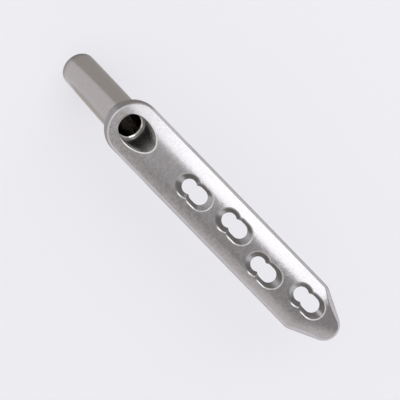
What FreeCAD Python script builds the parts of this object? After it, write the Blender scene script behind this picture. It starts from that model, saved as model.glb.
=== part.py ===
import FreeCAD, Part
import math
import operator
import os
from types import SimpleNamespace

import Sketcher
from FreeCAD import Placement, Rotation, Vector

# A side plate for fixing a broken hip: a straight shaft with four staggered combination holes and, at
# its head, a barrel that leaves the bone side at 135 degrees to the shaft and guides a lag screw.
# It is machined from one bar of steel, so it is one solid.
#
# Frame: X runs along the shaft towards the tip, Z leaves the outer (lateral) face, and the origin is
# where the barrel's axis crosses the middle of the bone side. Lengths are in millimetres.

# Driving dimensions: the name used in the sheet, the value, and what it measures.
SIZES = [
    ("plate_width", 19.0, "across the shaft"),
    ("plate_thickness", 5.8, "along the middle of the shaft"),
    ("face_radius", 22.8, "crown of the outer face, across the shaft"),
    ("bone_radius", 30.0, "hollow of the bone side, across the shaft"),
    ("shoulder_depth", 2.9, "from the crown down to where the sloping side wall turns upright"),
    ("side_slope", 37.4, "lean of the sloping side wall from upright, in degrees"),
    ("face_edge_round", 0.5, "edge between the outer face and the sloping wall"),
    ("shoulder_round", 1.0, "edge between the sloping and the upright wall"),
    ("bone_edge_round", 0.6, "edge between the upright wall and the bone side"),
    ("tip_margin", 17.4, "from the last hole's round end to the end of the tip"),
    ("nose_radius", 5.3, "round end of the tip, seen from above"),
    ("nose_taper", 25.0, "lean of each side of the tip from the shaft, in degrees"),
    ("nose_corner_round", 5.0, "corner between the shaft's side and the tip's"),
    ("nose_fall_length", 13.1, "from where the outer face starts to fall to the end of the tip"),
    ("nose_fall_radius", 40.0, "along the shaft, of the falling face at the tip"),
    ("barrel_angle", 135.0, "between the barrel and the shaft, in degrees"),
    ("barrel_length", 38.0, "along its axis, from the bone side to the barrel's end"),
    ("barrel_wall", 2.15, "between the bore and the outside of the barrel"),
    ("barrel_end_round", 1.0, "outer edge of the barrel's end"),
    ("barrel_root_fillet", 0.8, "where the barrel meets the plate"),
    ("head_land", 0.2, "head beyond the barrel, at shoulder height"),
    ("bore_diameter", 8.2, "for the lag screw's shaft"),
    ("bore_mouth_chamfer", 0.3, "inner edge of the barrel's end"),
    ("counterbore_step", 0.92, "width of the counterbore's floor round the bore"),
    ("counterbore_depth", 5.38, "along the axis, from the crown of the outer face"),
    ("counterbore_floor_chamfer", 0.35, "inner edge of the counterbore's floor"),
    ("first_hole", 29.3, "from the origin to the first hole's round end"),
    ("hole_land", 2.9, "between the rims of neighbouring holes, along the shaft"),
    ("hole_stagger", 1.6, "of a hole to either side of the middle"),
    ("waist_height", 1.8, "from the middle of the bone side to a hole's narrowest edge"),
    ("waist_round_radius", 2.5, "round end at the narrowest edge"),
    ("waist_slot_radius", 2.65, "slot end at the narrowest edge"),
    ("waist_slot_near", 3.4, "round end's centre to the slot's near centre"),
    ("waist_slot_travel", 1.35, "slot's near centre to its far centre"),
    ("waist_cusp_round", 0.4, "cusp between the two ends, at the narrowest edge"),
    ("rim_round_radius", 4.15, "round end at the crown's height"),
    ("rim_round_shift", 0.3, "the rim's round end, further towards the head"),
    ("rim_slot_radius", 3.9, "slot end at the crown's height"),
    ("rim_slot_near", 3.65, "round end's centre to the rim's near slot centre"),
    ("rim_slot_travel", 1.9, "rim's near slot centre to its far one"),
    ("rim_cusp_round", 0.5, "cusp between the two ends, at the crown's height"),
    ("bone_flare", 0.8, "widening of a hole from its narrowest edge to the bone side"),
    ("rim_chamfer", 0.3, "edge of a hole and of the counterbore in the outer face"),
]

# The side of the middle line that each hole lies on, from the head to the tip.
HOLE_SIDES = (0, 1, -1, 1)

# How far a cutting shape runs past the surface that it cuts.
OVERRUN = 1.0

# How far round the falling tip's cut turns, in degrees, to pass right over the end of the tip.
FALL_SWEEP = 80

# How far up a surface looks, from 1 for straight up to -1 for straight down: each of the plate's
# surfaces lies in one of these ranges all over.
OUTER_FACE = (0.8, 1.01)
SLOPING_WALL = (0.2, 0.8)
UPRIGHT_WALL = (-0.05, 0.05)
BONE_SIDE = (-1.01, -0.8)

# Two surfaces that look up by amounts closer than this run smoothly into each other.
SMOOTH = 0.05

# Two lengths or directions closer than this are the same.
SAME = 1e-6

doc = FreeCAD.newDocument("bone_plate")
sheet = doc.addObject("Spreadsheet::Sheet", "Sizes")
for row, (alias, number, meaning) in enumerate(SIZES, start=1):
    sheet.set(f"A{row}", alias)
    sheet.set(f"B{row}", str(number))
    sheet.set(f"C{row}", meaning)
    sheet.setAlias(f"B{row}", alias)
doc.recompute()

body = doc.addObject("PartDesign::Body", "barrel_plate")
body.Label = "barrel_plate"
doc.recompute()


def calculation(sign, work_out):
    """A sum on two measures, which gives the number and writes down the formula."""
    def method(first, second):
        if not isinstance(second, Measure):
            second = Measure(second, str(second))
        formula = f"({first.formula} {sign} {second.formula})"
        return Measure(work_out(first.number, second.number), formula)
    return method


class Measure:
    """A number together with the formula, in the sheet's names, that it comes from."""

    def __init__(self, number, formula):
        self.number = number
        self.formula = formula

    __add__ = calculation("+", operator.add)
    __sub__ = calculation("-", operator.sub)
    __mul__ = calculation("*", operator.mul)
    __truediv__ = calculation("/", operator.truediv)

    def __neg__(self):
        return Measure(-self.number, f"(-{self.formula})")


def sine(angle):
    return Measure(math.sin(math.radians(angle.number)), f"sin({angle.formula} * 1 deg)")


def cosine(angle):
    return Measure(math.cos(math.radians(angle.number)), f"cos({angle.formula} * 1 deg)")


def root(measure):
    return Measure(math.sqrt(measure.number), f"sqrt({measure.formula})")


def from_sheet(alias):
    return Measure(float(sheet.get(alias)), f"Sizes.{alias}")


sizes = SimpleNamespace(**{alias: from_sheet(alias) for alias, number, meaning in SIZES})

# What follows from the driving dimensions and is used in more than one place.
ZERO = Measure(0, "0")
half_width = sizes.plate_width / 2
shoulder_height = sizes.plate_thickness - sizes.shoulder_depth
bone_sag = sizes.bone_radius - root(sizes.bone_radius * sizes.bone_radius - half_width * half_width)
barrel_slope = -sizes.barrel_angle + 180
bore_radius = sizes.bore_diameter / 2
barrel_radius = bore_radius + sizes.barrel_wall
waist_depth = sizes.plate_thickness - sizes.waist_height
rim_length = (
    sizes.rim_round_radius
    + sizes.rim_round_shift
    + sizes.rim_slot_near
    + sizes.rim_slot_travel
    + sizes.rim_slot_radius
)
hole_pitch = rim_length + sizes.hole_land
tip = sizes.first_hole + hole_pitch * (len(HOLE_SIDES) - 1) + sizes.tip_margin


def sketch_on(role, name, **place):
    """An empty sketch on one of the body's own planes, moved by a measure in x, y or z."""
    plane = next(item for item in body.Origin.OriginFeatures if item.Role == role)
    sketch = body.newObject("Sketcher::SketchObject", name)
    sketch.AttachmentSupport = [(plane, "")]
    sketch.MapMode = "FlatFace"
    for direction, measure in place.items():
        sketch.setExpression(f"AttachmentOffset.Base.{direction}", measure.formula)
    return sketch


def dimension(sketch, name, measure, kind, *places):
    """A named dimension of a sketch, tied to the sheet."""
    number = measure.number
    formula = measure.formula
    if kind == "Angle":
        number = math.radians(number)
        formula = f"{formula} * 1 deg"
    index = sketch.addConstraint(Sketcher.Constraint(kind, *places, number))
    sketch.renameConstraint(index, name)
    sketch.setExpression(f"Constraints.{name}", formula)


def join_smoothly(sketch, joints):
    """Tangent joints, each given as curve, its end, next curve, its end (1 is a start, 2 an end)."""
    for joint in joints:
        sketch.addConstraint(Sketcher.Constraint("Tangent", *joint))


def arc(centre_x, centre_y, radius, start_deg, end_deg):
    circle = Part.Circle(Vector(centre_x, centre_y, 0), Vector(0, 0, 1), radius)
    return Part.ArcOfCircle(circle, math.radians(start_deg), math.radians(end_deg))


def line(x1, y1, x2, y2):
    return Part.LineSegment(Vector(x1, y1, 0), Vector(x2, y2, 0))


def on_axis(sketch, curve):
    """Put an arc's centre on the sketch's horizontal axis."""
    sketch.addConstraint(Sketcher.Constraint("PointOnObject", curve, 3, -1))


def outline_sketch():
    """The plate seen from above: a round head, a straight shaft and a tapered, round-nosed tip."""
    barrel_back = (shoulder_height * cosine(barrel_slope) - barrel_radius) / sine(barrel_slope)
    head_centre = barrel_back - sizes.head_land + half_width
    nose_centre = tip - sizes.nose_radius

    half = half_width.number
    head = head_centre.number
    nose_x = nose_centre.number
    nose = sizes.nose_radius.number
    corner = sizes.nose_corner_round.number
    taper = sizes.nose_taper.number
    lean_x = math.sin(math.radians(taper))
    lean_y = math.cos(math.radians(taper))
    corner_x = nose_x - ((half - corner) * lean_y - (nose - corner)) / lean_x
    corner_end = (corner_x + corner * lean_x, half - corner + corner * lean_y)
    nose_end = (nose_x + nose * lean_x, nose * lean_y)

    sketch = sketch_on("XY_Plane", "outline", z=shoulder_height)
    sketch.addGeometry([
        arc(head, 0, half, 90, 270),
        line(head, -half, corner_x, -half),
        arc(corner_x, corner - half, corner, -90, taper - 90),
        line(corner_end[0], -corner_end[1], nose_end[0], -nose_end[1]),
        arc(nose_x, 0, nose, taper - 90, 90 - taper),
        line(nose_end[0], nose_end[1], corner_end[0], corner_end[1]),
        arc(corner_x, half - corner, corner, 90 - taper, 90),
        line(corner_x, half, head, half),
    ])
    join_smoothly(sketch, [(curve, 2, (curve + 1) % 8, 1) for curve in range(8)])
    on_axis(sketch, 0)
    on_axis(sketch, 4)
    sketch.addConstraint(Sketcher.Constraint("Horizontal", 1))
    sketch.addConstraint(Sketcher.Constraint("Horizontal", 7))
    sketch.addConstraint(Sketcher.Constraint("Equal", 2, 6))
    sketch.addConstraint(Sketcher.Constraint("Equal", 3, 5))
    dimension(sketch, "head_centre", head_centre, "DistanceX", -1, 1, 0, 3)
    dimension(sketch, "head_radius", half_width, "Radius", 0)
    dimension(sketch, "corner_radius", sizes.nose_corner_round, "Radius", 2)
    dimension(sketch, "nose_radius", sizes.nose_radius, "Radius", 4)
    dimension(sketch, "nose_centre", nose_centre, "DistanceX", -1, 1, 4, 3)
    dimension(sketch, "taper", sizes.nose_taper, "Angle", -1, 1, 3, 1)
    return sketch


def plate_blank():
    """The outline padded down past the bone side, and up with leaning walls past the crown."""
    outline = outline_sketch()
    doc.recompute()
    pad = body.newObject("PartDesign::Pad", "plate_blank")
    pad.Profile = outline
    pad.SideType = "Two sides"
    pad.setExpression("Length", (sizes.shoulder_depth + OVERRUN).formula)
    pad.setExpression("TaperAngle", f"{(-sizes.side_slope).formula} * 1 deg")
    pad.setExpression("Length2", (shoulder_height + bone_sag + OVERRUN).formula)


def arc_across(name, radius, crown, far, **place):
    """A profile across the shaft, closed by straight lines, whose edge is an arc with its top on Z.

    crown is the height of the arc's top and far that of the opposite line, both above the sketch's
    own origin, which place moves.
    """
    half = half_width + OVERRUN
    centre = crown - radius
    end = centre.number + math.sqrt(radius.number**2 - half.number**2)
    lean = math.degrees(math.asin(half.number / radius.number))
    sketch = sketch_on("YZ_Plane", name, **place)
    sketch.addGeometry([
        arc(0, centre.number, radius.number, 90 - lean, 90 + lean),
        line(-half.number, end, -half.number, far.number),
        line(-half.number, far.number, half.number, far.number),
        line(half.number, far.number, half.number, end),
    ])
    for curve in range(4):
        following = (curve + 1) % 4
        sketch.addConstraint(Sketcher.Constraint("Coincident", curve, 2, following, 1))
    sketch.addConstraint(Sketcher.Constraint("Vertical", 1))
    sketch.addConstraint(Sketcher.Constraint("Horizontal", 2))
    sketch.addConstraint(Sketcher.Constraint("Vertical", 3))
    sketch.addConstraint(Sketcher.Constraint("PointOnObject", 0, 3, -2))
    dimension(sketch, "radius", radius, "Radius", 0)
    dimension(sketch, "centre", centre, "DistanceY", -1, 1, 0, 3)
    dimension(sketch, "far", far, "DistanceY", -1, 1, 2, 1)
    dimension(sketch, "left", -half, "DistanceX", -1, 1, 2, 1)
    dimension(sketch, "right", half, "DistanceX", -1, 1, 2, 2)
    return sketch


def cut_along_shaft(name, profile):
    """Cut a profile away over the whole length of the plate."""
    doc.recompute()
    pocket = body.newObject("PartDesign::Pocket", name)
    pocket.Profile = profile
    pocket.SideType = "Symmetric"
    pocket.Type = "ThroughAll"


def bone_side():
    """The hollow that the plate rests on the bone with."""
    far = -bone_sag - 2 * OVERRUN
    cut_along_shaft("bone_side", arc_across("bone_profile", sizes.bone_radius, ZERO, far))


def outer_face():
    """The crowned outer face: a long arc across the shaft."""
    crown = sizes.plate_thickness
    far = crown + barrel_radius * 2 + OVERRUN
    cut_along_shaft("outer_face", arc_across("face_profile", sizes.face_radius, crown, far))


def falling_tip():
    """The same crown, turned about an axis under the plate so that the face falls to the tip."""
    profile = arc_across(
        "fall_profile",
        sizes.face_radius,
        sizes.nose_fall_radius,
        sizes.nose_fall_radius + sizes.plate_thickness,
        y=sizes.plate_thickness - sizes.nose_fall_radius,
        z=tip - sizes.nose_fall_length,
    )
    doc.recompute()
    groove = body.newObject("PartDesign::Groove", "falling_tip")
    groove.Profile = profile
    groove.ReferenceAxis = (profile, ["H_Axis"])
    groove.Angle = FALL_SWEEP


def eased(kind, name, amount, wanted):
    """A Fillet or Chamfer on the edges of the last feature for which wanted(edge, faces) is true."""
    doc.recompute()
    base = body.Tip
    edges = []
    for index, edge in enumerate(base.Shape.Edges, start=1):
        faces = base.Shape.ancestorsOfType(edge, Part.Face)
        if len(faces) == 2 and wanted(edge, faces):
            edges.append(f"Edge{index}")
    feature = body.newObject(f"PartDesign::{kind}", name)
    feature.Base = (base, edges)
    feature.setExpression("Radius" if kind == "Fillet" else "Size", amount.formula)


def leans(edge, faces):
    """How far up each of two faces looks in the middle of the edge between them, lower one first."""
    point = edge.valueAt((edge.FirstParameter + edge.LastParameter) / 2)
    return sorted(face.normalAt(*face.Surface.parameter(point)).z for face in faces)


def between(lower, upper):
    """A test for edges between surfaces that look up by amounts in these two ranges."""
    def wanted(edge, faces):
        low, high = leans(edge, faces)
        return lower[0] < low < lower[1] and upper[0] < high < upper[1]
    return wanted


def follows_barrel(face, kind):
    """True for a surface of this kind whose axis lies along the barrel."""
    along = Vector(cosine(barrel_slope).number, 0, sine(barrel_slope).number)
    surface = face.Surface
    return surface.TypeId == kind and surface.Axis.cross(along).Length < SAME


def is_barrel_outside(face):
    is_turned = follows_barrel(face, "Part::GeomCylinder")
    return is_turned and abs(face.Surface.Radius - barrel_radius.number) < SAME


def rim_edge(edge, faces):
    """True where the wall of a hole or of the counterbore, but not its floor, opens in the face."""
    low, high = leans(edge, faces)
    on_floor = any(follows_barrel(face, "Part::GeomPlane") for face in faces)
    return high > OUTER_FACE[0] and high - low > SMOOTH and not on_floor


def on_barrel(at_end):
    """A test for the edges of the barrel's outside: the circle at its end, or those at its root."""
    def wanted(edge, faces):
        outside = [face for face in faces if is_barrel_outside(face)]
        is_circle = edge.Curve.TypeId == "Part::GeomCircle"
        return len(outside) == 1 and is_circle == at_end
    return wanted


def turned(kind, name, points):
    """Add or cut a shape turned about the barrel's axis, from an outline of straight lines.

    Each point of the outline is its distance from the axis and its height along it, both measures.
    A line between points with the same distance or height is held upright or level.
    """
    sketch = sketch_on("XZ_Plane", f"{name}_profile")
    lean = sizes.barrel_angle - 90
    sketch.AttachmentOffset = Placement(Vector(0, 0, 0), Rotation(Vector(0, 0, -1), lean.number))
    sketch.setExpression("AttachmentOffset.Rotation.Angle", f"{lean.formula} * 1 deg")
    for start, end in zip(points, points[1:] + points[:1]):
        sketch.addGeometry(line(*(measure.number for measure in start + end)))
    for index, point in enumerate(points):
        earlier = (index - 1) % len(points)
        sketch.addConstraint(Sketcher.Constraint("Coincident", earlier, 2, index, 1))
        for letter, place, before, level, axis in (
            ("X", point[0], points[earlier][0], "Vertical", -2),
            ("Y", point[1], points[earlier][1], "Horizontal", -1),
        ):
            if place.formula == before.formula:
                sketch.addConstraint(Sketcher.Constraint(level, earlier))
            elif place.formula == ZERO.formula:
                sketch.addConstraint(Sketcher.Constraint("PointOnObject", index, 1, axis))
            else:
                dimension(sketch, f"{letter}{index}", place, f"Distance{letter}", -1, 1, index, 1)
    doc.recompute()
    feature = body.newObject(f"PartDesign::{kind}", name)
    feature.Profile = sketch
    feature.ReferenceAxis = (sketch, ["V_Axis"])
    feature.Angle = 360


def barrel():
    """The barrel without its bore: its far end in the air, its near end inside the plate."""
    end = -sizes.barrel_length
    inside = sizes.plate_thickness / 2 + barrel_radius * cosine(barrel_slope)
    top = inside / sine(barrel_slope)
    turned("Revolution", "barrel", [
        (ZERO, end),
        (barrel_radius, end),
        (barrel_radius, top),
        (ZERO, top),
    ])


def bore():
    """The lag screw's bore, its counterbore in the outer face and the edges of both."""
    mouth_radius = bore_radius + sizes.bore_mouth_chamfer
    counterbore_radius = bore_radius + sizes.counterbore_step
    end = -sizes.barrel_length
    floor = sizes.plate_thickness / sine(barrel_slope) - sizes.counterbore_depth
    highest = sizes.plate_thickness + counterbore_radius * cosine(barrel_slope)
    top = highest / sine(barrel_slope) + OVERRUN
    turned("Groove", "bore", [
        (ZERO, end - OVERRUN),
        (mouth_radius, end - OVERRUN),
        (mouth_radius, end),
        (bore_radius, end + sizes.bore_mouth_chamfer),
        (bore_radius, floor - sizes.counterbore_floor_chamfer),
        (bore_radius + sizes.counterbore_floor_chamfer, floor),
        (counterbore_radius, floor),
        (counterbore_radius, top),
        (ZERO, top),
    ])


def combination_sketch(name, shape, **place):
    """A hole's outline at one height: a round end, and a slot that opens into it towards the tip.

    The round end's centre lies at minus the shape's shift, and the slot's centres at near and, one
    travel further, at far. A small arc rounds the cusp on each side between round end and slot.
    """
    far_measure = shape.near + shape.travel
    round_end = shape.round_end.number
    shift = shape.shift.number
    slot = shape.slot.number
    near = shape.near.number
    far = far_measure.number
    cusp = shape.cusp.number
    apart = near + shift
    along = (apart**2 + (round_end + cusp) ** 2 - (slot + cusp) ** 2) / (2 * apart)
    cusp_x = along - shift
    cusp_y = math.sqrt((round_end + cusp) ** 2 - along**2)
    from_round = math.degrees(math.atan2(cusp_y, along))
    from_slot = math.degrees(math.atan2(cusp_y, near - cusp_x))

    sketch = sketch_on("XY_Plane", name, **place)
    sketch.addGeometry([
        arc(-shift, 0, round_end, from_round, 360 - from_round),
        arc(cusp_x, -cusp_y, cusp, from_slot, 180 - from_round),
        arc(near, 0, slot, 180 + from_slot, 270),
        line(near, -slot, far, -slot),
        arc(far, 0, slot, -90, 90),
        line(far, slot, near, slot),
        arc(near, 0, slot, 90, 180 - from_slot),
        arc(cusp_x, cusp_y, cusp, 180 + from_round, 360 - from_slot),
    ])
    join_smoothly(sketch, [
        (0, 2, 1, 2),
        (1, 1, 2, 1),
        (2, 2, 3, 1),
        (3, 2, 4, 1),
        (4, 2, 5, 1),
        (5, 2, 6, 1),
        (6, 2, 7, 2),
        (7, 1, 0, 1),
    ])
    on_axis(sketch, 2)
    on_axis(sketch, 4)
    sketch.addConstraint(Sketcher.Constraint("Coincident", 6, 3, 2, 3))
    sketch.addConstraint(Sketcher.Constraint("Horizontal", 3))
    sketch.addConstraint(Sketcher.Constraint("Equal", 6, 2))
    sketch.addConstraint(Sketcher.Constraint("Equal", 7, 1))
    dimension(sketch, "round_end", shape.round_end, "Radius", 0)
    dimension(sketch, "slot_end", shape.slot, "Radius", 2)
    dimension(sketch, "cusp", shape.cusp, "Radius", 1)
    dimension(sketch, "near", shape.near, "DistanceX", -1, 1, 2, 3)
    dimension(sketch, "far", far_measure, "DistanceX", -1, 1, 4, 3)
    if shape.shift is ZERO:
        sketch.addConstraint(Sketcher.Constraint("Coincident", 0, 3, -1, 1))
    else:
        on_axis(sketch, 0)
        dimension(sketch, "shift", -shape.shift, "DistanceX", -1, 1, 0, 3)
    return sketch


def waist_shape():
    """The narrowest outline of a hole."""
    return SimpleNamespace(
        round_end=sizes.waist_round_radius,
        shift=ZERO,
        slot=sizes.waist_slot_radius,
        near=sizes.waist_slot_near,
        travel=sizes.waist_slot_travel,
        cusp=sizes.waist_cusp_round,
    )


def rim_shape():
    """The outline that a hole's walls reach above the crown, in line with the rim and the waist."""
    waist = waist_shape()

    def above(rim, below):
        return rim + (rim - below) * OVERRUN / waist_depth

    return SimpleNamespace(
        round_end=above(sizes.rim_round_radius, waist.round_end),
        shift=above(sizes.rim_round_shift, waist.shift),
        slot=above(sizes.rim_slot_radius, waist.slot),
        near=above(sizes.rim_slot_near, waist.near),
        travel=above(sizes.rim_slot_travel, waist.travel),
        cusp=above(sizes.rim_cusp_round, waist.cusp),
    )


def bone_shape():
    """The outline that a hole's flared walls reach at the lowest edges of the bone side."""
    flare = sizes.bone_flare * (sizes.waist_height + bone_sag) / sizes.waist_height
    shape = waist_shape()
    shape.round_end = shape.round_end + flare
    shape.slot = shape.slot + flare
    return shape


def combination_hole(index, side):
    """One hole: walls that lean in from the rim to the waist, and flare out again below it."""
    name = f"hole_{index + 1}"
    along = sizes.first_hole + hole_pitch * index
    across = sizes.hole_stagger * side
    sketches = {}
    for level, shape, height in (
        ("waist", waist_shape(), sizes.waist_height),
        ("rim", rim_shape(), sizes.plate_thickness + OVERRUN),
        ("bone", bone_shape(), -bone_sag),
    ):
        sketches[level] = combination_sketch(f"{name}_{level}", shape, x=along, y=across, z=height)
    doc.recompute()
    for part, level in (("upper", "rim"), ("lower", "bone")):
        loft = body.newObject("PartDesign::SubtractiveLoft", f"{name}_{part}")
        loft.Profile = sketches["waist"]
        loft.Sections = [sketches[level]]
        loft.Ruled = True
        doc.recompute()


def check_document():
    """Stop where any object of the document failed, or where the plate isn't one sound solid."""
    doc.recompute()
    for item in doc.Objects:
        if "Invalid" in item.State or "Error" in item.State:
            raise RuntimeError(f"{item.Name} failed: {item.State}")
    shape = body.Shape
    if shape.isNull() or not shape.isValid() or len(shape.Solids) != 1:
        raise RuntimeError("the plate isn't one valid solid")


plate_blank()
bone_side()
eased("Fillet", "shoulder", sizes.shoulder_round, between(UPRIGHT_WALL, SLOPING_WALL))
eased("Fillet", "bone_edge", sizes.bone_edge_round, between(BONE_SIDE, UPRIGHT_WALL))
barrel()
outer_face()
falling_tip()
eased("Fillet", "face_edge", sizes.face_edge_round, between(SLOPING_WALL, OUTER_FACE))
eased("Fillet", "barrel_root", sizes.barrel_root_fillet, on_barrel(at_end=False))
eased("Fillet", "barrel_end", sizes.barrel_end_round, on_barrel(at_end=True))
bore()
for index, side in enumerate(HOLE_SIDES):
    combination_hole(index, side)
eased("Chamfer", "rim_edges", sizes.rim_chamfer, rim_edge)
check_document()

os.makedirs("parts", exist_ok=True)
body.Shape.exportStep(f"parts/{body.Label}.step")
print(f"{body.Label}: {body.Shape.Volume:.1f} cubic mm, {len(body.Shape.Faces)} faces")
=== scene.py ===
"""Steel plate with a barrel and four combination holes, seen from above on a pale floor."""
import math

import bpy
from mathutils import Matrix, Vector


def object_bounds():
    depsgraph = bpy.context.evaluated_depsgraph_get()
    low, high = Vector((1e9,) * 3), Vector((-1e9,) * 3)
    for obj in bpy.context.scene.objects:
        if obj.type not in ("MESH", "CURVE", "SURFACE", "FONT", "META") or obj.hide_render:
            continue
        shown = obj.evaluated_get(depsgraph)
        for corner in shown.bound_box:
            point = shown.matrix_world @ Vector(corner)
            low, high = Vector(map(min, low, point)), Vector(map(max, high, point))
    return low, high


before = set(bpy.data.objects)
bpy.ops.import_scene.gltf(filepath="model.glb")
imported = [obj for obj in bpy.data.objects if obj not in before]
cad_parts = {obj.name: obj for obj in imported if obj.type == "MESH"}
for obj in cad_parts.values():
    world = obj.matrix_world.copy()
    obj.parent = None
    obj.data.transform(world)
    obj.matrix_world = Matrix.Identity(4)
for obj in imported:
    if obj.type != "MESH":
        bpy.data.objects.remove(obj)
cad_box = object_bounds()

MM = 0.001

# The part's own lengths, in millimetres, as its source gives them.
CROWN_TOP = 5.8
CROWN_RADIUS = 22.8
HEAD_CENTRE = 3.36
HEAD_RADIUS = 9.5
BORE_RADIUS = 4.1
COUNTERBORE_RADIUS = 5.02
BARREL_TILT = math.radians(45.0)

# Where the finishes, the painted shade and the painted highlights begin and end, in millimetres. Each fades
# in or out between its two numbers.
BARREL_TOP = (-2.0, -1.0)
BARREL_REACH = (9.0, 11.0)
HEAD_REACH = (HEAD_RADIUS, HEAD_RADIUS + 0.2)
HEAD_BACK = (HEAD_CENTRE - 1.0, HEAD_CENTRE)
BARREL_END_LENGTH = (-37.8, -34.6)
COUNTERBORE_REACH = (COUNTERBORE_RADIUS - 0.04, COUNTERBORE_RADIUS + 0.08)
COUNTERBORE_TOP = (5.6, 5.9)
RING_INSIDE = (BORE_RADIUS + 0.04, BORE_RADIUS + 0.10)
RING_OUTSIDE = (BORE_RADIUS + 0.32, BORE_RADIUS + 0.40)
RING_TOP = (3.4, 3.7)
BORE_REACH = (BORE_RADIUS + 0.02, BORE_RADIUS + 0.10)
BORE_TOP = (4.0, 4.5)
HOLE_DEPTH = (0.08, 0.18)
HOLE_REACH = (5.8, 6.0)
HOLES_FROM = (13.0, 14.0)
HOLES_TO = (86.4, 86.9)
HEAD_SIDE_DEPTH = (0.30, 0.70)
HEAD_SIDE_TO = (1.0, 6.0)
CHAMFER_INSIDE = (COUNTERBORE_RADIUS - 0.02, COUNTERBORE_RADIUS + 0.04)
CHAMFER_OUTSIDE = (COUNTERBORE_RADIUS + 0.48, COUNTERBORE_RADIUS + 0.58)
CHAMFER_DEPTH = (0.05, 0.11)
CHAMFER_TO = (13.5, 14.0)

# The steel's colours. Where there are two, they are its darker and its lighter specks. The holes, the head's
# side, the barrel's end, the counterbore and the bore are darkened as painted shade, and the ring and the
# chamfer are lightened as painted highlights.
FACE_STEEL = ((0.512, 0.504, 0.512), (0.612, 0.603, 0.606))
FACE_STAIN = (0.605, 0.565, 0.58)
BARREL_STEEL = ((0.450, 0.424, 0.410), (0.487, 0.456, 0.437))
# painted shade: the holes' walls and the bone side are darker than the face, with the steel's specks
HOLE_SPECKS_AND_SHADE = ((0.43, 0.42, 0.42), (0.51, 0.50, 0.495))
# painted shade: the head's sloping side is darker than the steel of the face
HEAD_SIDE_PAINTED_SHADE = (0.325, 0.315, 0.31)
# painted shade: the barrel's last few millimetres are darker
BARREL_END_PAINTED_SHADE = (0.26, 0.25, 0.24)
# painted shade: the counterbore's wall is a little darker than the face, and the bore darker still
COUNTERBORE_PAINTED_SHADE = (0.53, 0.52, 0.505)
BORE_PAINTED_SHADE = (0.41, 0.395, 0.375)
# painted highlights: the ring at the bore's mouth and the counterbore's edge in the face are lighter than
# the steel
RING_PAINTED_HIGHLIGHT = (0.84, 0.83, 0.82)
CHAMFER_PAINTED_HIGHLIGHT = (0.76, 0.75, 0.74)

# The steel's roughness. The outer face's goes from one number to the other with its mottle.
FACE_ROUGHNESS = (0.15, 0.21)
BARREL_ROUGHNESS = 0.17
HOLE_ROUGHNESS = 0.27
COUNTERBORE_ROUGHNESS = 0.30
BORE_ROUGHNESS = 0.12
RING_ROUGHNESS = 0.13

# The blasted surface's noises: scale per metre, detail and roughness.
GRAIN = (2100.0, 3.0, 0.62)
MOTTLE = (760.0, 3.0, 0.6)
STAIN = (230.0, 2.0, 0.5)

# The part of each noise's range over which the roughness or the colour changes.
MOTTLE_RANGE = (0.3, 0.7)
SPECK_RANGE = (0.36, 0.64)
STAIN_RANGE = (0.35, 0.65)
STAIN_AMOUNT = 0.5

# The bumps: the shares of the grain and of the mottle, their strength, and their height in millimetres.
GRAIN_BUMP = 0.8
MOTTLE_BUMP = 1.3
BUMP_STRENGTH = 0.36
BUMP_HEIGHT = 0.05

# How much of the bumps a smooth finish loses, and how far the holes' finish counts as smooth.
SMOOTHING = 0.85
HOLE_SMOOTHNESS = 0.4

# The camera, with its place and target in millimetres and its turn about the line of sight in degrees.
CAMERA_PLACE = (27.06, 11.44, 361.69)
CAMERA_TARGET = (34.77, -0.47, 5.8)
CAMERA_TURN = 45.78
CAMERA_LENS = 100.0
SENSOR_WIDTH = 36.0

# The floor: half its side in millimetres, its paper, and the glow that only the camera and the steel's
# reflections see in it.
FLOOR_HALF = 3000
FLOOR_PAPER = (0.42, 0.42, 0.435)
GLOW_TINT = (0.96, 0.95, 1.0)
FLOOR_GLOW = 0.542

# The cards beside the part, five grey and one white: their tones, and their corners in millimetres.
CARDS = {
    "flag_far": ((0.66, 0.645, 0.63), [
        (-83, 0), (-60, 3), (-25, 8), (15, 12), (15, 60), (-12, 75), (-12, 600), (-300, 600), (-300, 100)]),
    "flag_under_far": ((0.31, 0.30, 0.29), [
        (18, 11), (110, 11), (110, 60), (18, 60)]),
    "flag_under_near": ((0.31, 0.30, 0.29), [
        (18, -60), (112, -60), (112, -4), (97, -4), (85, -11), (18, -11)]),
    "flag_head": ((0.88, 0.86, 0.84), [
        (-8, -11), (-18, -9), (-30, -13), (-34, -28), (-24, -44), (-5, -48)]),
    "flag_end": ((0.50, 0.49, 0.48), [
        (-30, -9), (-30, 9), (-46, 9), (-50, 0), (-46, -9)]),
    "reflector": ((0.92, 0.92, 0.93), [
        (14, 75), (130, 75), (260, 600), (14, 600)]),
}

# How far the cards lie above the floor, in millimetres.
CARD_LIFT = 0.4

# The studio's tones, and the directions between which each comes in or goes. These are the X, Y or Z of
# a direction of length 1, or ASIDE, its X less its Y, which grows towards +X and -Y.
OVERHEAD = (0.475, 0.47, 0.47)
DIM = (0.355, 0.34, 0.33)
DIM_ASIDE = (0.28, 0.45)
DARK = (0.335, 0.32, 0.32)
DARK_X = (0.02, 0.12)
WALL = (0.88, 0.86, 0.85)
WALL_ASIDE = (0.56, 0.84)
WALL_END = (0.73, 0.705, 0.70)
WALL_END_X = (0.09, 0.20)
HEAD_WALL = (0.90, 0.885, 0.875)
HEAD_WALL_X = (-0.18, -0.055)
SURROUND = (0.96, 0.97, 1.0)
SURROUND_Y = (0.10, 0.50)
SURROUND_TO_X = (0.16, 0.32)
BRIGHT = (1.5, 1.5, 1.5)
STRIP_Y = (0.78, 0.90)
STRIP_Z = (0.10, 0.20)
BEHIND_HEAD = (0.87, 0.86, 0.87)
BEHIND_HEAD_X = (-0.95, -0.78)
BEHIND_HEAD_Z = (0.12, 0.30)

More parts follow.
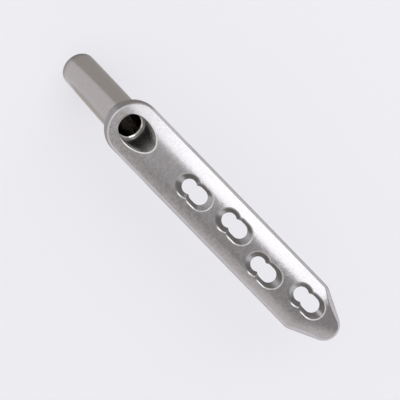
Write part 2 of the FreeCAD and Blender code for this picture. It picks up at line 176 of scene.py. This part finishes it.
# The softbox, in metres, with its lean from overhead towards +Y in degrees.
SOFTBOX_X = 0.13
SOFTBOX_DISTANCE = 0.8
SOFTBOX_LEAN = 46.0
SOFTBOX_SIZE = (0.37, 0.78)
SOFTBOX_RADIANCE = 0.89
SOFTBOX_TINT = (0.975, 0.985, 1.0)


class Graph:
    """Adds nodes to a tree, with numbers, tones or other nodes' outputs as their inputs."""

    def __init__(self, tree):
        self.tree = tree
        tree.nodes.clear()

    def put(self, socket, value):
        """Links a node's output to the socket, or sets the socket to a number or a tone."""
        if isinstance(value, bpy.types.NodeSocket):
            self.tree.links.new(value, socket)
        elif isinstance(value, tuple):
            socket.default_value = (*value, 1.0)
        else:
            socket.default_value = value

    def node(self, kind, inputs=None, **settings):
        made = self.tree.nodes.new(kind)
        for name, value in settings.items():
            setattr(made, name, value)
        for name, value in (inputs or {}).items():
            self.put(made.inputs[name], value)
        return made

    def math(self, operation, first, second=0.0):
        return self.node("ShaderNodeMath", {0: first, 1: second}, operation=operation).outputs[0]

    def product(self, first, *others):
        for other in others:
            first = self.math("MULTIPLY", first, other)
        return first

    def length(self, first, second):
        """The distance that two steps at right angles to each other make."""
        squares = self.math("ADD", self.product(first, first), self.product(second, second))
        return self.math("SQRT", squares)

    def ramp(self, value, limits, at_low=0.0, at_high=1.0):
        """at_low below both limits, at_high above them, smooth between."""
        made = self.node("ShaderNodeMapRange", {"Value": value, "From Min": limits[0], "From Max": limits[1],
                                                "To Min": at_low, "To Max": at_high},
                         interpolation_type="SMOOTHSTEP")
        return made.outputs["Result"]

    def fall(self, value, limits):
        """1 below both limits, 0 above them, smooth between."""
        return self.ramp(value, limits, 1.0, 0.0)

    # a mix node has sockets for every kind of data, with the same names, so they go by number

    def mix(self, amount, first, second):
        """first where amount is 0, second where it is 1, as colours."""
        made = self.node("ShaderNodeMix", data_type="RGBA")
        self.put(made.inputs[0], amount)
        self.put(made.inputs[6], first)
        self.put(made.inputs[7], second)
        return made.outputs[2]

    def blend(self, amount, first, second):
        """first where amount is 0, second where it is 1, as numbers."""
        made = self.node("ShaderNodeMix", data_type="FLOAT")
        self.put(made.inputs[0], amount)
        self.put(made.inputs[2], first)
        self.put(made.inputs[3], second)
        return made.outputs[0]

    def noise(self, place, scale, detail, roughness):
        made = self.node("ShaderNodeTexNoise", {"Vector": place, "Scale": scale, "Detail": detail,
                                                "Roughness": roughness})
        return made.outputs["Fac"]


def set_camera():
    place = Vector(CAMERA_PLACE) * MM
    turn = math.radians(CAMERA_TURN)
    back = (place - Vector(CAMERA_TARGET) * MM).normalized()
    right = Vector((-math.sin(turn), math.cos(turn), 0.0)).cross(back).normalized()
    up = back.cross(right)
    data = bpy.data.cameras.new("camera")
    data.lens = CAMERA_LENS
    data.sensor_width = SENSOR_WIDTH
    camera = bpy.data.objects.new("camera", data)
    bpy.context.scene.collection.objects.link(camera)
    camera.matrix_world = Matrix.Translation(place) @ Matrix((right, up, back)).transposed().to_4x4()
    bpy.context.scene.camera = camera


def steel():
    """One steel with a finish for each region of the part, which masks of its place pick out, and painted
    shade or painted highlights in some regions' colour.
    """
    material = bpy.data.materials.new("implant_steel_finish")
    material.use_nodes = True
    graph = Graph(material.node_tree)
    place = graph.node("ShaderNodeTexCoord").outputs["Object"]
    split = graph.node("ShaderNodeSeparateXYZ", {"Vector": place})
    x, y, z = (graph.math("MULTIPLY", split.outputs[name], 1.0 / MM) for name in "XYZ")

    # millimetres along the barrel's axis, away from that axis, away from the head's centre, and below the
    # outer face's crown
    along = graph.math("MULTIPLY", graph.math("ADD", x, z), math.sin(BARREL_TILT))
    across = graph.math("MULTIPLY", graph.math("SUBTRACT", x, z), math.sin(BARREL_TILT))
    away = graph.length(across, y)
    around = graph.length(graph.math("SUBTRACT", x, HEAD_CENTRE), y)
    crown = graph.math("SQRT", graph.math("SUBTRACT", CROWN_RADIUS ** 2, graph.math("MULTIPLY", y, y)))
    depth = graph.math("SUBTRACT", graph.math("ADD", crown, CROWN_TOP - CROWN_RADIUS), z)

    # the barrel is what lies below the plate or sticks out behind the head
    below = graph.product(graph.fall(z, BARREL_TOP), graph.fall(away, BARREL_REACH))
    behind = graph.product(graph.ramp(around, HEAD_REACH), graph.fall(x, HEAD_BACK))
    barrel = graph.math("MAXIMUM", below, behind)
    # painted shade on the barrel's last few millimetres, towards its end
    barrel_end = graph.fall(along, BARREL_END_LENGTH)
    # painted shade on the head's sloping side, below the crown of the face
    head_side = graph.product(graph.ramp(depth, HEAD_SIDE_DEPTH), graph.fall(x, HEAD_SIDE_TO))

    # the combination holes' walls, and the bone side between the holes, which are smoother and darkened with
    # painted shade
    holes = graph.product(graph.ramp(depth, HOLE_DEPTH), graph.ramp(x, HOLES_FROM),
                          graph.fall(graph.math("ABSOLUTE", y), HOLE_REACH), graph.fall(x, HOLES_TO))

    # the counterbore and the bore, darkened as painted shade, and the bright ring at the bore's mouth and
    # the counterbore's edge in the face, lightened as painted highlights
    counterbore = graph.product(graph.fall(away, COUNTERBORE_REACH), graph.fall(z, COUNTERBORE_TOP))
    ring = graph.product(graph.fall(along, RING_TOP), graph.ramp(away, RING_INSIDE),
                         graph.fall(away, RING_OUTSIDE), counterbore)
    bore = graph.product(graph.fall(away, BORE_REACH), graph.fall(z, BORE_TOP))
    chamfer = graph.product(graph.ramp(away, CHAMFER_INSIDE), graph.fall(away, CHAMFER_OUTSIDE),
                            graph.ramp(depth, CHAMFER_DEPTH), graph.fall(x, CHAMFER_TO))

    grain = graph.noise(place, *GRAIN)
    mottle = graph.noise(place, *MOTTLE)
    stain = graph.noise(place, *STAIN)
    mean = graph.math("MULTIPLY", graph.math("ADD", mottle, grain), 0.5)
    specks = graph.ramp(mean, SPECK_RANGE)
    bumps = graph.math("ADD", graph.math("MULTIPLY", grain, GRAIN_BUMP),
                       graph.math("MULTIPLY", mottle, MOTTLE_BUMP))
    smooth = graph.math("MAXIMUM", graph.math("MAXIMUM", barrel, counterbore),
                        graph.math("MULTIPLY", holes, HOLE_SMOOTHNESS))
    blasted = graph.math("SUBTRACT", 1.0, graph.math("MULTIPLY", smooth, SMOOTHING))
    bump = graph.node("ShaderNodeBump", {
        "Strength": BUMP_STRENGTH, "Distance": BUMP_HEIGHT * MM, "Height": graph.product(bumps, blasted)})

    shade = graph.mix(specks, *FACE_STEEL)
    shade = graph.mix(graph.ramp(stain, STAIN_RANGE), shade, graph.mix(STAIN_AMOUNT, shade, FACE_STAIN))
    rough = graph.ramp(mottle, MOTTLE_RANGE, *FACE_ROUGHNESS)
    # each region's tone replaces the one before it; the darker tones of the head's side, barrel's end,
    # holes, counterbore and bore are painted shade, the lighter ones of the ring and chamfer painted
    # highlights
    for mask, tone, roughness in (
            (head_side, HEAD_SIDE_PAINTED_SHADE, None),
            (barrel, graph.mix(specks, *BARREL_STEEL), BARREL_ROUGHNESS),
            (barrel_end, BARREL_END_PAINTED_SHADE, None),
            (holes, graph.mix(specks, *HOLE_SPECKS_AND_SHADE), HOLE_ROUGHNESS),
            (counterbore, COUNTERBORE_PAINTED_SHADE, COUNTERBORE_ROUGHNESS),
            (bore, BORE_PAINTED_SHADE, BORE_ROUGHNESS),
            (ring, RING_PAINTED_HIGHLIGHT, RING_ROUGHNESS),
            (chamfer, CHAMFER_PAINTED_HIGHLIGHT, None)):
        shade = graph.mix(mask, shade, tone)
        if roughness is not None:
            rough = graph.blend(mask, rough, roughness)
    shader = graph.node("ShaderNodeBsdfPrincipled", {
        "Base Color": shade, "Metallic": 1.0, "Roughness": rough, "Normal": bump.outputs["Normal"]})
    out = graph.node("ShaderNodeOutputMaterial")
    graph.put(out.inputs["Surface"], shader.outputs["BSDF"])
    return material


def flat_piece(name, corners, height):
    """A flat sheet with its corners in millimetres, lying at that height in metres."""
    mesh = bpy.data.meshes.new(name)
    mesh.from_pydata([(x * MM, y * MM, height) for x, y in corners], [], [tuple(range(len(corners)))])
    sheet = bpy.data.objects.new(name, mesh)
    bpy.context.scene.collection.objects.link(sheet)
    return sheet


def set_floor():
    """Pale paper that keeps the part's shadow, and looks as pale in the steel as to the camera."""
    half = FLOOR_HALF
    floor = flat_piece("floor", [(-half, -half), (half, -half), (half, half), (-half, half)], cad_box[0][2])
    material = bpy.data.materials.new("floor_paper")
    material.use_nodes = True
    graph = Graph(material.node_tree)
    path = graph.node("ShaderNodeLightPath")
    seen = graph.math("MAXIMUM", path.outputs["Is Camera Ray"],
                      graph.math("MAXIMUM", path.outputs["Is Glossy Ray"],
                                 path.outputs["Is Transmission Ray"]))
    paper = graph.node("ShaderNodeBsdfDiffuse", {"Color": FLOOR_PAPER})
    glow = graph.node("ShaderNodeEmission", {"Color": GLOW_TINT,
                                             "Strength": graph.math("MULTIPLY", seen, FLOOR_GLOW)})
    both = graph.node("ShaderNodeAddShader")
    graph.put(both.inputs[0], paper.outputs[0])
    graph.put(both.inputs[1], glow.outputs[0])
    out = graph.node("ShaderNodeOutputMaterial")
    graph.put(out.inputs["Surface"], both.outputs[0])
    floor.data.materials.append(material)


def set_card(name, tone, corners):
    """A card on the floor beside the part, which only the steel shows."""
    material = bpy.data.materials.new(name + "_card")
    material.use_nodes = True
    graph = Graph(material.node_tree)
    paper = graph.node("ShaderNodeBsdfDiffuse", {"Color": tone})
    out = graph.node("ShaderNodeOutputMaterial")
    graph.put(out.inputs["Surface"], paper.outputs[0])
    card = flat_piece(name, corners, cad_box[0][2] + CARD_LIFT * MM)
    card.data.materials.append(material)
    card.visible_camera = False
    card.visible_diffuse = False
    card.visible_shadow = False
    card.visible_transmission = False


def set_world():
    world = bpy.data.worlds.new("studio")
    bpy.context.scene.world = world
    world.use_nodes = True
    graph = Graph(world.node_tree)
    way = graph.node("ShaderNodeTexCoord").outputs["Generated"]
    split = graph.node("ShaderNodeSeparateXYZ", {"Vector": way})
    x, y, z = (split.outputs[name] for name in "XYZ")
    aside = graph.math("SUBTRACT", x, y)
    wall = graph.mix(graph.ramp(x, WALL_END_X), WALL, WALL_END)
    short_of_tip = graph.fall(x, SURROUND_TO_X)
    behind_head = graph.mix(graph.ramp(z, BEHIND_HEAD_Z), BEHIND_HEAD, BRIGHT)
    tone = OVERHEAD
    for mask, added in (
            # from overhead the studio dims towards the tip and -Y, and then brightens to a pale wall
            (graph.ramp(aside, DIM_ASIDE), DIM),
            (graph.ramp(x, DARK_X), DARK),
            (graph.ramp(aside, WALL_ASIDE), wall),
            # towards the head it is pale
            (graph.fall(x, HEAD_WALL_X), HEAD_WALL),
            # the softbox has a soft surround, and a bright strip beyond it
            (graph.product(graph.ramp(y, SURROUND_Y), short_of_tip), SURROUND),
            (graph.product(graph.ramp(y, STRIP_Y), graph.ramp(z, STRIP_Z), short_of_tip), BRIGHT),
            # behind the head the floor's paper seems to go on, with a bright strip above it
            (graph.fall(x, BEHIND_HEAD_X), behind_head)):
        tone = graph.mix(mask, tone, added)
    back = graph.node("ShaderNodeBackground", {"Color": tone, "Strength": 1.0})
    out = graph.node("ShaderNodeOutputWorld")
    graph.put(out.inputs["Surface"], back.outputs[0])


def set_softbox():
    """A flat lamp that looks as bright as a wall of its radiance."""
    lean = math.radians(SOFTBOX_LEAN)
    place = Vector((SOFTBOX_X, SOFTBOX_DISTANCE * math.sin(lean), SOFTBOX_DISTANCE * math.cos(lean)))
    target = Vector((SOFTBOX_X, 0.0, 0.0))
    data = bpy.data.lights.new("softbox", "AREA")
    data.shape = "RECTANGLE"
    data.size, data.size_y = SOFTBOX_SIZE
    data.energy = SOFTBOX_RADIANCE * math.pi * data.size * data.size_y
    data.color = SOFTBOX_TINT
    lamp = bpy.data.objects.new("softbox", data)
    lamp.visible_camera = False
    bpy.context.scene.collection.objects.link(lamp)
    lamp.matrix_world = (Matrix.Translation(place)
                         @ (place - target).to_track_quat("Z", "Y").to_matrix().to_4x4())


set_camera()
set_floor()
for name, (tone, corners) in CARDS.items():
    set_card(name, tone, corners)
set_world()
set_softbox()
bpy.context.scene.view_settings.view_transform = "Standard"

finish = steel()
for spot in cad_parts["barrel_plate"].material_slots:
    spot.material = finish
